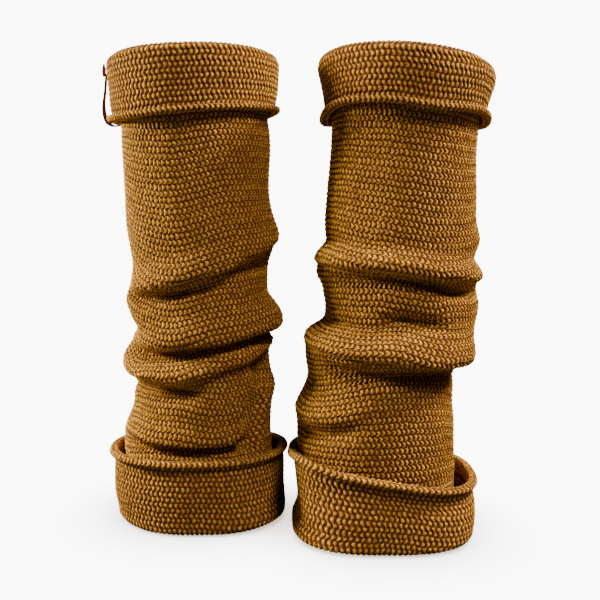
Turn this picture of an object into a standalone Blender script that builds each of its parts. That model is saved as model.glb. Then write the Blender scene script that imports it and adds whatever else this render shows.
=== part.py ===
# Pair of slouched knitted leg warmers, standing open on a table.
# Each one is a knitted tube whose two ends are turned back over it as cuffs.
# The tables are in millimetres; the mesh points are scaled to metres at the end.
# Azimuth is measured round a leg warmer from its front: 0 front, 90 right, 180 back, -90 left.

from typing import NamedTuple

import bpy
import numpy as np

MM = 0.001

# Driving dimensions
CLOTH = 3.0  # thickness of the knitted cloth
SEAM_GAP = 0.3  # between a cuff's inner leg and the tube it carries on from
POINTS_AROUND = 28
UPPER_ROWS = 4  # rows of faces down the tube above its folds
SLOUCH_ROWS = 34  # where it is slouched
LOWER_ROWS = 3  # inside the bottom cuff
SLOUCH_TOP = 258.0
SLOUCH_BOTTOM = 68.0
CREST_BEND = 5.0  # height of the bend where a cuff turns over, on the cloth's middle
CREST_TURNS = ((0, 45, 90), (135, 180))  # degrees round the bend, on its inner and outer side
FOOT_BEND = 4.5  # the same bend at the foot, which rests on the table
FOOT_TURNS = ((0, 36, 72, 90), (90, 108, 144, 180))
FOOT_FLAT = 0.32  # share of the foot's bend that lies flat on the table
SEAM_DEPTH = 15.0  # from a cuff's crest to the end of its inner leg
ROLL_RADIUS = 2.3  # the free edge's curl, on the cloth's middle
ROLL_TURNS = (0, 50, 100, 150, 200)  # degrees that the free edge curls through
OUTER_LEG_SHARES = (0.3, 0.65)  # rings between a cuff's bend and its curl
LACE_WIDTH = 3.6
LACE_THICKNESS = 1.3


class Section(NamedTuple):
    """A level outline of the cloth's outer face."""

    height: float
    drift_x: float  # of its centre from the leg warmer's stand point
    drift_y: float
    half_x: float
    half_y: float


class Fold(NamedTuple):
    """A ridge (reach above 0) or crease (reach below 0) along a path part of the way round."""

    path: tuple  # its line on the tube, as (azimuth, height), fading out at both ends
    reach: float  # out from the tube
    half: float  # half its height on the tube
    droop: float = 0.0  # how far its lip hangs down
    plump: float = 0.0  # how far it swells up and down, as a roll does


class Groove(NamedTuple):
    """An upright crease."""

    top: tuple  # its upper end, as (azimuth, height)
    bottom: tuple
    spread: float  # degrees from its middle to each side
    depth: float


class Level(NamedTuple):
    """The height of a cuff's bend or free edge at one azimuth."""

    azimuth: float
    height: float


class Cuff(NamedTuple):
    bends: tuple  # heights of the outer face where the cloth turns over
    edges: tuple
    squareness: float  # 2 is an ellipse in plan
    sections: tuple
    folds: tuple


class LacePoint(NamedTuple):
    """A point that a lace runs through, from the stand point."""

    x: float
    y: float
    z: float
    turn: float  # degrees that its flat side is turned from facing sideways


class LegWarmer(NamedTuple):
    stand: tuple  # where it stands
    squareness: float
    sections: tuple
    folds: tuple
    grooves: tuple
    top_cuff: Cuff
    bottom_cuff: Cuff
    laces: tuple = ()  # routes of strips that hang from it


LEFT = LegWarmer(
    stand=(-77.0, 16.6),
    squareness=2.1,
    sections=(
        Section(0, -1.0, 0.0, 59.0, 57.0),
        Section(45, -1.0, 0.0, 61.0, 58.0),
        Section(70, -2.5, 0.0, 61.0, 58.0),
        Section(97, 2.5, -1.0, 57.0, 56.0),
        Section(118, 1.0, 0.0, 57.5, 56.0),
        Section(145, 1.0, 1.0, 56.0, 55.0),
        Section(165, 1.0, 1.0, 57.0, 56.0),
        Section(185, -0.5, 0.0, 57.0, 56.0),
        Section(204, 1.8, -1.0, 55.2, 55.0),
        Section(222, 2.8, -1.0, 58.5, 57.0),
        Section(240, 2.0, 0.0, 60.5, 58.0),
        Section(262, -0.5, 1.0, 59.0, 57.0),
        Section(312, -1.0, 0.0, 60.0, 57.0),
        Section(336, -2.5, 0.0, 58.5, 56.5),
        Section(375, -2.5, 0.0, 58.5, 56.5),
    ),
    folds=(
        Fold(((-80, 201), (-36, 202), (-14, 207), (5, 212), (45, 218)), 7.5, 10, 9, 2),
        Fold(((-75, 183), (-29, 184), (-14, 187), (5, 190), (40, 195)), -9.5, 8),
        Fold(((0, 214), (31, 219), (52, 226), (87, 236), (130, 236)), 4.5, 10, 5, 1),
        Fold(((10, 202), (40, 206), (75, 211), (105, 212)), -4, 9),
        Fold(((-65, 149), (-32, 154), (-7, 160), (23, 164), (44, 168), (92, 171), (150, 166)), 9, 11, 10, 4),
        Fold(((50, 172), (92, 174), (130, 171)), 5, 9, 2, 1),
        Fold(((-80, 138), (-43, 138), (-19, 140), (1, 142), (30, 147)), -12.5, 8),
        Fold(((-10, 141), (19, 145), (70, 151), (120, 148)), -7, 5.5),
        Fold(((-85, 133), (-51, 132), (-6, 131), (11, 135), (22, 138), (42, 141), (90, 143)), 8.5, 9, 6.5, 2),
        Fold(((-150, 131), (-85, 135), (-25, 130)), 8, 10, 4, 3),
        Fold(((-80, 113), (-44, 111), (-7, 110), (7, 111), (22, 115)), -15, 9),
        Fold(((-85, 80), (-30, 79), (25, 78), (75, 76)), 4.5, 8, 6, 1.5),
        Fold(((-85, 66), (-30, 66), (25, 65), (75, 63)), -10, 7.5),
        Fold(((-130, 178), (-88, 179), (-45, 176)), 2.5, 12),
        Fold(((-130, 157), (-88, 158), (-48, 155)), -5.5, 8),
        Fold(((62, 147), (92, 146), (125, 143)), 5, 8, 0, 1),
        Fold(((60, 104), (92, 107), (130, 100)), 3.5, 14),
        Fold(((125, 208), (165, 204), (215, 200)), 6, 10, 7, 2),
        Fold(((125, 193), (170, 189), (215, 186)), -6, 8.5),
        Fold(((145, 166), (185, 164), (235, 160)), 8, 10, 8, 3),
        Fold(((145, 148), (190, 146), (235, 143)), -8, 8.5),
        Fold(((100, 128), (150, 122), (205, 120)), 7, 10, 6, 3),
        Fold(((105, 108), (155, 103), (205, 101)), -7, 8.5),
    ),
    grooves=(
        Groove((62, 144), (67, 104), 19, 6.5),
        Groove((60, 118), (46, 44), 17, 10),
        Groove((205, 130), (212, 45), 18, 4),
        Groove((2, 330), (12, 215), 24, 1.5),
    ),
    top_cuff=Cuff(
        bends=(
            Level(-90, 371.5),
            Level(-20, 373.0),
            Level(35, 374.5),
            Level(90, 375.5),
            Level(180, 373.0),
        ),
        squareness=2.1,
        sections=(
            Section(320, -3.6, 0.0, 62.5, 60.5),
            Section(332, -3.4, 0.0, 65.6, 63.0),
            Section(348, -2.4, 0.0, 67.8, 65.0),
            Section(366, -2.6, 0.0, 69.2, 66.5),
        ),
        edges=(
            Level(-90, 322.5),
            Level(-40, 319.5),
            Level(0, 322),
            Level(50, 327),
            Level(90, 331),
            Level(180, 328),
        ),
        folds=(
            Fold(((-20, 340), (35, 340), (90, 340)), -1.5, 18, 0),
            Fold(((130, 345), (200, 345), (270, 345)), 1.8, 18, 0),
        ),
    ),
    bottom_cuff=Cuff(
        bends=(Level(0, 0),),
        squareness=2.1,
        sections=(
            Section(6, -0.5, 0.0, 71.5, 66.0),
            Section(20, -1.2, 0.0, 71.2, 66.0),
            Section(41, -1.0, 0.0, 71.0, 66.0),
            Section(58, -1.7, 0.0, 69.8, 65.5),
        ),
        edges=(
            Level(-90, 57.5),
            Level(0, 60),
            Level(90, 57),
            Level(140, 54),
            Level(200, 55),
        ),
        folds=(
            Fold(((28, 34), (62, 34), (96, 34)), -2.2, 20, 0),
            Fold(((-80, 30), (-20, 30), (40, 30)), 1.2, 16, 0),
            Fold(((110, 34), (150, 34), (190, 34)), -2.0, 20, 0),
            Fold(((5, 6), (47, 6), (88, 6)), 5, 16),
            Fold(((-105, 6), (-65, 6), (-25, 6)), -2.5, 16),
        ),
    ),
    laces=(
        (
            LacePoint(-72.6, -6.0, 361.5, 0),
            LacePoint(-74.1, -3.0, 355.4, 0),
            LacePoint(-75.0, -0.5, 346.5, 8),
            LacePoint(-75.8, 0.5, 338.5, 20),
            LacePoint(-75.0, 0.5, 329.6, 50),
            LacePoint(-74.1, 0.4, 324.4, 40),
            LacePoint(-70.2, 0.3, 320.7, 30),
            LacePoint(-66.6, 0.2, 319.7, 15),
            LacePoint(-63.5, 0.0, 319.9, 0),
        ),
        (
            LacePoint(-74.3, -4.0, 369.5, 20),
            LacePoint(-73.2, -8.0, 365.5, 35),
            LacePoint(-71.9, -12.5, 361.0, 20),
            LacePoint(-70.6, -17.0, 357.0, 0),
        ),
    ),
)

RIGHT = LegWarmer(
    stand=(83.0, -18.4),
    squareness=2.15,
    sections=(
        Section(0, -12.0, 0.0, 59.0, 56.0),
        Section(40, -14.0, 0.0, 60.5, 57.0),
        Section(70, -16.3, 0.0, 62.0, 58.0),
        Section(90, -17.0, 0.0, 62.2, 58.0),
        Section(105, -15.8, 0.0, 59.6, 57.0),
        Section(124, -12.0, 0.0, 58.0, 57.0),
        Section(134, -10.5, -1.0, 61.0, 57.0),
        Section(145, -10.5, -2.0, 61.5, 58.0),
        Section(157, -6.3, -2.0, 65.0, 59.0),
        Section(164, -0.5, -1.0, 60.5, 57.0),
        Section(172, 2.5, 0.0, 59.5, 57.0),
        Section(190, 2.5, 0.0, 60.5, 57.0),
        Section(212, -0.7, 0.0, 58.5, 56.0),
        Section(226, 3.0, 0.0, 58.5, 56.0),
        Section(238, 1.5, 0.0, 58.3, 56.0),
        Section(262, 2.0, 0.0, 57.5, 55.0),
        Section(296, 3.2, 0.0, 55.7, 54.0),
        Section(320, 4.5, 0.0, 56.0, 54.0),
        Section(370, 3.0, 0.0, 57.5, 55.0),
    ),
    folds=(
        Fold(((-175, 213), (-91, 219), (-6, 214.5), (33, 208.5), (77, 205.5), (150, 209)), 9.5, 8, 4.5, 2),
        Fold(((-80, 203), (-60, 201), (-5, 199), (15, 197), (32, 192), (60, 190), (98, 190)), -10.5, 8),
        Fold(((10, 197), (32, 192), (53, 189), (88, 189)), -4, 7),
        Fold(((-145, 203), (-92, 204), (-45, 204)), 4, 12),
        Fold(((40, 236), (77, 234), (120, 234)), 2, 10, 3),
        Fold(((-28, 172), (2, 171), (34, 165)), -8.5, 7),
        Fold(((-115, 166), (-83, 166), (-47, 165), (-8, 162), (12, 161), (35, 160)), -4.5, 8),
        Fold(((-95, 158), (-46, 156), (2, 153), (24, 151), (60, 149), (90, 146), (135, 147)), 8, 8.7, 7.2, 3),
        Fold(((-5, 153), (40, 151), (85, 147)), 2, 8, 3.5),
        Fold(((-75, 137), (-46, 134), (-26, 131), (17, 130), (45, 129), (70, 127), (98, 125)), -13, 8.3),
        Fold(((0, 130), (40, 129), (80, 126)), -3, 7.5),
        Fold(((-130, 99), (-90, 101), (-57, 100), (-33, 102), (0, 107)), 4, 8, 4, 1),
        Fold(((-100, 83), (-64, 83), (-41, 85), (-5, 93)), -6, 8),
        Fold(((110, 198), (160, 194), (215, 198)), 7, 9, 6, 3),
        Fold(((115, 182), (165, 178), (215, 182)), -7, 8.5),
        Fold(((120, 152), (175, 149), (235, 154)), 8, 10, 7, 3),
        Fold(((125, 134), (175, 131), (235, 136)), -8, 8.5),
        Fold(((90, 110), (140, 106), (190, 104)), 6, 10, 5, 2),
        Fold(((95, 93), (140, 89), (190, 88)), -6, 8.5),
    ),
    grooves=(
        Groove((160, 120), (152, 50), 18, 4),
        Groove((-25, 315), (-18, 232), 26, 1.5),
    ),
    top_cuff=Cuff(
        bends=(
            Level(-90, 367.0),
            Level(-45, 368.0),
            Level(0, 365.5),
            Level(40, 361.0),
            Level(75, 357.0),
            Level(110, 356.0),
            Level(180, 362.0),
        ),
        squareness=2.1,
        sections=(
            Section(314, 4.0, 0.0, 60.6, 58.5),
            Section(327, 4.6, 0.0, 61.6, 59.5),
            Section(337, 5.6, 0.0, 63.6, 61.5),
            Section(347, 6.0, 0.0, 66.0, 63.5),
            Section(358, 4.0, 0.0, 66.6, 63.5),
        ),
        edges=(
            Level(-90, 318),
            Level(-55, 325),
            Level(-20, 324),
            Level(15, 319),
            Level(55, 319),
            Level(90, 314),
            Level(140, 320),
            Level(200, 324),
        ),
        folds=(
            Fold(((-95, 335), (-55, 335), (-15, 335)), 2.0, 12, 0),
            Fold(((130, 338), (190, 338), (250, 338)), -1.5, 16, 0),
        ),
    ),
    bottom_cuff=Cuff(
        bends=(Level(0, 0),),
        squareness=2.9,
        sections=(
            Section(5, -12.0, -1.0, 71.3, 66.5),
            Section(14, -9.6, -1.0, 70.0, 66.0),
            Section(27, -9.0, -1.0, 69.3, 65.0),
            Section(42, -10.8, 0.0, 68.8, 64.0),
            Section(62, -12.8, 0.0, 69.2, 64.0),
        ),
        edges=(
            Level(-90, 63),
            Level(-55, 68),
            Level(-25, 61),
            Level(10, 54),
            Level(45, 48),
            Level(90, 48),
            Level(135, 46),
            Level(180, 52),
            Level(230, 60),
        ),
        folds=(
            Fold(((-20, 40), (25, 36), (70, 32)), -2.2, 10, 0),
            Fold(((-80, 24), (-30, 24), (20, 24)), 1.2, 14, 0),
            Fold(((110, 30), (170, 30), (230, 30)), -1.8, 16, 0),
        ),
    ),
)


def spline(stations, values, at):
    """A smooth curve through the values at the stations: cubic pieces, sloped by their neighbours."""
    stations = np.asarray(stations, float)
    values = np.asarray(values, float)
    slopes = np.gradient(values, stations)
    at = np.clip(at, stations[0], stations[-1])
    piece = np.clip(np.searchsorted(stations, at) - 1, 0, len(stations) - 2)
    width = stations[piece + 1] - stations[piece]
    share = (at - stations[piece]) / width
    blend = share * share * (3 - 2 * share)
    start_pull = share * (1 - share) ** 2 * width * slopes[piece]
    end_pull = share * share * (1 - share) * width * slopes[piece + 1]
    return values[piece] + (values[piece + 1] - values[piece]) * blend + start_pull - end_pull


def level_round(levels, azimuth):
    """The height all the way round, from its table carried over once on each side."""
    if len(levels) == 1:
        return np.full(np.shape(azimuth), levels[0].height, float)
    turns = [level.azimuth + turn for turn in (-360, 0, 360) for level in levels]
    heights = [level.height for _ in range(3) for level in levels]
    return spline(turns, heights, azimuth)


def angle_between(azimuth, middle):
    return (azimuth - middle + 180) % 360 - 180


def window(share):
    """1 in the middle, falling smoothly to 0 where the share reaches 1."""
    return (1 - np.minimum(np.abs(share), 1) ** 3) ** 2


def fold_push(folds, grooves, azimuth, height):
    """How far the folds push the cloth out, and how far they let it hang down."""
    out = np.zeros(np.broadcast(azimuth, height).shape)
    down = np.zeros_like(out)
    for fold in folds:
        middle = (fold.path[0][0] + fold.path[-1][0]) / 2
        spread = (fold.path[-1][0] - fold.path[0][0]) / 2
        turn = angle_between(azimuth, middle)
        line = spline([place[0] - middle for place in fold.path], [place[1] for place in fold.path], turn)
        level = (height - line) / fold.half
        swell = window(turn / spread) * np.exp(-2 * level**2)
        out += fold.reach * swell
        down += (fold.droop - 2 * fold.plump * level) * swell
    for groove in grooves:
        share = (groove.top[1] - height) / (groove.top[1] - groove.bottom[1])
        line = groove.top[0] + (groove.bottom[0] - groove.top[0]) * share
        out -= groove.depth * window(angle_between(azimuth, line) / groove.spread) * window(2 * share - 1)
    return out, down


def outline(sections, squareness, azimuth, height, out):
    """Points of the rounded outline at these heights, moved out, from the stand point."""
    stations = [section.height for section in sections]
    drift_x, drift_y, half_x, half_y = (
        spline(stations, [section[column] for section in sections], height) for column in range(1, 5)
    )
    turn = np.radians(azimuth)
    across = np.abs(np.sin(turn) / half_x) ** squareness
    along = np.abs(np.cos(turn) / half_y) ** squareness
    radius = (across + along) ** (-1 / squareness) + out
    return drift_x + radius * np.sin(turn), drift_y - radius * np.cos(turn)


def seam_height(cuff, azimuth, foot):
    """Where a cuff's inner leg ends inside the fold."""
    up = -1 if foot else 1
    return level_round(cuff.bends, azimuth) - up * SEAM_DEPTH


def tube_rings(leg):
    """Rings down the middle of the tube's cloth, close together where it is slouched."""
    azimuth = np.linspace(-180, 180, POINTS_AROUND, endpoint=False)
    top = seam_height(leg.top_cuff, azimuth, False) - SEAM_GAP
    bottom = seam_height(leg.bottom_cuff, azimuth, True) + SEAM_GAP
    heights = np.concatenate(
        [
            np.linspace(top, SLOUCH_TOP, UPPER_ROWS + 1)[:-1],
            np.linspace(SLOUCH_TOP, SLOUCH_BOTTOM, SLOUCH_ROWS + 1)[:-1, None] + 0 * azimuth,
            np.linspace(SLOUCH_BOTTOM, bottom, LOWER_ROWS + 1),
        ]
    )
    push, down = fold_push(leg.folds, leg.grooves, azimuth, heights)
    x, y = outline(leg.sections, leg.squareness, azimuth, heights, push - CLOTH / 2)
    return np.stack([x, y, heights - down], axis=2)


def cuff_stations(cuff, azimuth, foot):
    """The rings of a cuff's cloth, from the seam inside the fold, over the bend and out to the curled edge:
    (height, height of the outline it follows, share of the way out from the tube, curl past the cuff)."""
    up = -1 if foot else 1
    bend = FOOT_BEND if foot else CREST_BEND
    flat = FOOT_FLAT if foot else 0.0
    inner_turns, outer_turns = FOOT_TURNS if foot else CREST_TURNS
    bend_start = level_round(cuff.bends, azimuth) - up * (CLOTH / 2 + bend)
    edge = level_round(cuff.edges, azimuth) + up * (CLOTH / 2 + ROLL_RADIUS)
    seam = seam_height(cuff, azimuth, foot)
    stations = [(seam, seam, 0.0, 0.0)]
    for turn in np.radians(inner_turns + outer_turns):
        height = bend_start + up * bend * np.sin(turn)
        out = (1 - flat) / 2 * (1 - np.cos(turn))
        if len(stations) > len(inner_turns):
            out += flat
        stations.append((height, height, out, 0.0))
    for share in OUTER_LEG_SHARES:
        height = bend_start + (edge - bend_start) * share
        stations.append((height, height, 1.0, 0.0))
    for turn in np.radians(ROLL_TURNS):
        stations.append((edge - up * ROLL_RADIUS * np.sin(turn), edge, 1.0, ROLL_RADIUS * (1 - np.cos(turn))))
    return stations


def cuff_rings(leg, cuff, foot):
    """Rings along the middle of a cuff's cloth."""
    azimuth = np.linspace(-180, 180, POINTS_AROUND, endpoint=False)
    rings = []
    for height, level, out, curl in cuff_stations(cuff, azimuth, foot):
        push, _ = fold_push(cuff.folds, (), azimuth, level)
        inner_x, inner_y = outline(leg.sections, leg.squareness, azimuth, level, -CLOTH / 2)
        outer_x, outer_y = outline(cuff.sections, cuff.squareness, azimuth, level, push + curl - CLOTH / 2)
        x = inner_x + (outer_x - inner_x) * out
        y = inner_y + (outer_y - inner_y) * out
        rings.append(np.stack([x, y, height], axis=1))
    return np.array(rings)


def add_material(name, colour, roughness):
    material = bpy.data.materials.new(name)
    material.use_nodes = True
    shader = material.node_tree.nodes["Principled BSDF"]
    shader.inputs["Base Color"].default_value = (*colour, 1)
    shader.inputs["Roughness"].default_value = roughness
    shader.inputs["Metallic"].default_value = 0
    return material


def add_object(name, points, faces, material, stand):
    """A mesh whose points are measured from the stand point, where its parent is."""
    mesh = bpy.data.meshes.new(name)
    mesh.from_pydata((points * MM).tolist(), [], faces)
    mesh.shade_smooth()
    mesh.materials.append(material)
    thing = bpy.data.objects.new(name, mesh)
    thing.parent = stand
    stand.users_collection[0].objects.link(thing)
    return thing


def add_stand(name, place, collection):
    """An empty where a leg warmer stands, which carries its pieces."""
    stand = bpy.data.objects.new(name, None)
    stand.location = (place[0] * MM, place[1] * MM, 0)
    collection.objects.link(stand)
    return stand


def add_thickness(thing, thickness):
    """Thickens an open surface evenly to both sides."""
    wall = thing.modifiers.new("Thickness", "SOLIDIFY")
    wall.thickness = thickness * MM
    wall.offset = 0
    wall.use_even_offset = True
    wall.use_quality_normals = True


def add_cloth(name, rings, material, stand):
    """An open loft through unlike rings, given the cloth's thickness by Solidify."""
    rows, around = rings.shape[:2]
    faces = []
    for row in range(rows - 1):
        for step in range(around):
            beside = (step + 1) % around
            faces.append(
                (
                    row * around + step,
                    (row + 1) * around + step,
                    (row + 1) * around + beside,
                    row * around + beside,
                )
            )
    thing = add_object(name, rings.reshape(-1, 3), faces, material, stand)
    add_thickness(thing, CLOTH)


def add_lace(name, route, material, stand):
    """A flat strip along the route, given the lace's thickness by Solidify."""
    stations = np.arange(len(route), dtype=float)
    steps = np.linspace(0, len(route) - 1, 3 * len(route) - 2)
    x, y, z, turn = (spline(stations, [place[column] for place in route], steps) for column in range(4))
    way = np.stack([np.gradient(x), np.gradient(z)], axis=1)
    way /= np.linalg.norm(way, axis=1)[:, None]
    turn = np.radians(turn)
    flat = np.stack([-way[:, 1] * np.sin(turn), np.cos(turn), way[:, 0] * np.sin(turn)], axis=1)
    middle = np.stack([x, y, z], axis=1)
    points = np.stack([middle - flat * LACE_WIDTH / 2, middle + flat * LACE_WIDTH / 2], axis=1)
    faces = [(2 * row, 2 * row + 2, 2 * row + 3, 2 * row + 1) for row in range(len(steps) - 1)]
    thing = add_object(name, points.reshape(-1, 3), faces, material, stand)
    add_thickness(thing, LACE_THICKNESS)


def main():
    for thing in list(bpy.data.objects):
        bpy.data.objects.remove(thing)
    collection = bpy.data.collections.new("leg_warmers")
    bpy.context.scene.collection.children.link(collection)
    knit = add_material("ochre_knit", (0.42, 0.21, 0.035), 0.9)
    leather = add_material("oxblood_leather", (0.075, 0.008, 0.008), 0.5)
    for side, leg in (("left", LEFT), ("right", RIGHT)):
        stand = add_stand(f"{side}_leg_warmer", leg.stand, collection)
        add_cloth(f"{side}_tube", tube_rings(leg), knit, stand)
        add_cloth(f"{side}_top_cuff", cuff_rings(leg, leg.top_cuff, False), knit, stand)
        add_cloth(f"{side}_bottom_cuff", cuff_rings(leg, leg.bottom_cuff, True), knit, stand)
        for number, route in enumerate(leg.laces, 1):
            add_lace(f"{side}_lace_{number}", route, leather, stand)


main()
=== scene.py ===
import bpy
import numpy as np
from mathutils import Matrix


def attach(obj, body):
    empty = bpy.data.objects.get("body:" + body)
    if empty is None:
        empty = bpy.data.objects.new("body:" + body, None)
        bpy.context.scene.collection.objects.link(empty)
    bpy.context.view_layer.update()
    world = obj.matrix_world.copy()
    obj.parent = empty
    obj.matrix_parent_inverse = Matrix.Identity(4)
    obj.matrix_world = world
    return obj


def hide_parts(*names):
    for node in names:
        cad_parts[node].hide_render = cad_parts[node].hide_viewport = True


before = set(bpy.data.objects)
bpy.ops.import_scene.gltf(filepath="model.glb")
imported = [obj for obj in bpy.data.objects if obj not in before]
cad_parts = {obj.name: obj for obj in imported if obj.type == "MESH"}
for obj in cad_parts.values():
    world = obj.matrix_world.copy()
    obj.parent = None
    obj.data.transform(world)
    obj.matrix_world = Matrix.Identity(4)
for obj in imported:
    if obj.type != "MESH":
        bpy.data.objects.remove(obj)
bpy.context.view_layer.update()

print("frame loaded:", sorted(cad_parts))

leftTube = {
    "stand": (-77, 16.6),
    "squareness": 2.1,
    # height, drift in x and y, half width in x and y
    "sections": [
        (0, -1, 0, 59, 57),
        (45, -1, 0, 61, 58),
        (70, -2.5, 0, 61, 58),
        (97, 2.5, -1, 57, 56),
        (118, 1, 0, 57.5, 56),
        (145, 1, 1, 56, 55),
        (165, 1, 1, 57, 56),
        (185, -0.5, 0, 57, 56),
        (204, 1.8, -1, 55.2, 55),
        (222, 2.8, -1, 58.5, 57),
        (240, 2, 0, 60.5, 58),
        (262, -0.5, 1, 59, 57),
        (312, -1, 0, 60, 57),
        (336, -2.5, 0, 58.5, 56.5),
        (375, -2.5, 0, 58.5, 56.5),
    ],
    # its line as (azimuth, height), reach, half height, droop, plumpness
    "folds": [
        (((-80, 201), (-36, 202), (-14, 207), (5, 212), (45, 218)), 7.5, 10, 9, 2),
        (((-75, 183), (-29, 184), (-14, 187), (5, 190), (40, 195)), -9.5, 8),
        (((0, 214), (31, 219), (52, 226), (87, 236), (130, 236)), 4.5, 10, 5, 1),
        (((10, 202), (40, 206), (75, 211), (105, 212)), -4, 9),
        (((-65, 149), (-32, 154), (-7, 160), (23, 164), (44, 168), (92, 171), (150, 166)), 9, 11, 10, 4),
        (((50, 172), (92, 174), (130, 171)), 5, 9, 2, 1),
        (((-80, 138), (-43, 138), (-19, 140), (1, 142), (30, 147)), -12.5, 8),
        (((-10, 141), (19, 145), (70, 151), (120, 148)), -7, 5.5),
        (((-85, 133), (-51, 132), (-6, 131), (11, 135), (22, 138), (42, 141), (90, 143)), 8.5, 9, 6.5, 2),
        (((-150, 131), (-85, 135), (-25, 130)), 8, 10, 4, 3),
        (((-80, 113), (-44, 111), (-7, 110), (7, 111), (22, 115)), -15, 9),
        (((-112, 112), (-74, 111), (-36, 110)), -4, 7),
        (((-85, 80), (-30, 79), (25, 78), (75, 76)), 4.5, 8, 6, 1.5),
        (((-85, 66), (-30, 66), (25, 65), (75, 63)), -10, 7.5),
        (((-130, 178), (-88, 179), (-45, 176)), 2.5, 12),
        (((-130, 157), (-88, 158), (-48, 155)), -5.5, 8),
        (((62, 147), (92, 146), (125, 143)), 5, 8, 0, 1),
        (((60, 104), (92, 107), (130, 100)), 3.5, 14),
        (((125, 208), (165, 204), (215, 200)), 6, 10, 7, 2),
        (((125, 193), (170, 189), (215, 186)), -6, 8.5),
        (((145, 166), (185, 164), (235, 160)), 8, 10, 8, 3),
        (((145, 148), (190, 146), (235, 143)), -8, 8.5),
        (((100, 128), (150, 122), (205, 120)), 7, 10, 6, 3),
        (((105, 108), (155, 103), (205, 101)), -7, 8.5),
    ],
    # top and bottom as (azimuth, height), spread in degrees, depth
    "grooves": [
        ((62, 144), (67, 104), 19, 6.5),
        ((60, 118), (46, 44), 17, 10),
        ((205, 130), (212, 45), 18, 4),
        ((2, 330), (12, 215), 24, 1.5),
    ],
}
leftTopCuff = {
    "squareness": 2.1,
    # azimuth, height
    "bends": [
        (-90, 371.5),
        (-20, 373),
        (35, 374.5),
        (90, 375.5),
        (180, 373),
    ],
    # height, drift in x and y, half width in x and y
    "sections": [
        (320, -3.6, 0, 62.5, 60.5),
        (332, -3.4, 0, 65.6, 63),
        (348, -2.4, 0, 67.8, 65),
        (366, -2.6, 0, 69.2, 66.5),
    ],
    # azimuth, height
    "edges": [
        (-90, 322.5),
        (-40, 319.5),
        (0, 322),
        (50, 327),
        (90, 331),
        (180, 328),
    ],
    # its line as (azimuth, height), reach, half height, droop, plumpness
    "folds": [
        (((-20, 340), (35, 340), (90, 340)), -1.5, 18, 0),
        (((130, 345), (200, 345), (270, 345)), 1.8, 18, 0),
    ],
}
leftBottomCuff = {
    "squareness": 2.1,
    # azimuth, height
    "bends": [
        (0, 0),
    ],
    # height, drift in x and y, half width in x and y
    "sections": [
        (6, -0.5, 0, 71.5, 66),
        (20, -1.2, 0, 71.2, 66),
        (41, -1, 0, 71, 66),
        (58, -1.7, 0, 69.8, 65.5),
    ],
    # azimuth, height
    "edges": [
        (-90, 57.5),
        (0, 60),
        (90, 57),
        (140, 54),
        (200, 55),
    ],
    # its line as (azimuth, height), reach, half height, droop, plumpness
    "folds": [
        (((28, 34), (62, 34), (96, 34)), -2.2, 20, 0),
        (((-80, 30), (-20, 30), (40, 30)), 1.2, 16, 0),
        (((110, 34), (150, 34), (190, 34)), -2, 20, 0),
        (((5, 6), (47, 6), (88, 6)), 5, 16),
        (((-105, 6), (-65, 6), (-25, 6)), -2.5, 16),
    ],
}
# Strips that hang from the left top cuff: the long loop and the short tail, as points (x, y, z) from the
# stand point and the degrees that the flat side is turned towards the front
lace = {
    "width": 3.6,
    "thickness": 1.3,
    "loopPoint": 0.5,  # how many of its points the end takes to reach its full width
    "tailPoint": 1.6,
    "loop": [
        (-72.6, -6, 361.5, 0),
        (-73.8, -3, 355.4, 10),
        (-75.4, -0.5, 346.5, 15),
        (-76.8, 0.5, 338.5, 25),
        (-76.2, 0.5, 329.6, 60),
        (-74.2, 0.4, 324.4, 60),
        (-70.8, 0.3, 321.5, 32),
        (-66.8, 0.2, 321.0, 15),
        (-63.5, 0, 321.6, 0),
    ],
    "tail": [
        (-74.0, -7, 369.5, 20),
        (-72.8, -12, 365.5, 40),
        (-71.6, -16.5, 361, 40),
        (-70.6, -20.5, 356.5, 20),
    ],
}

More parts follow.
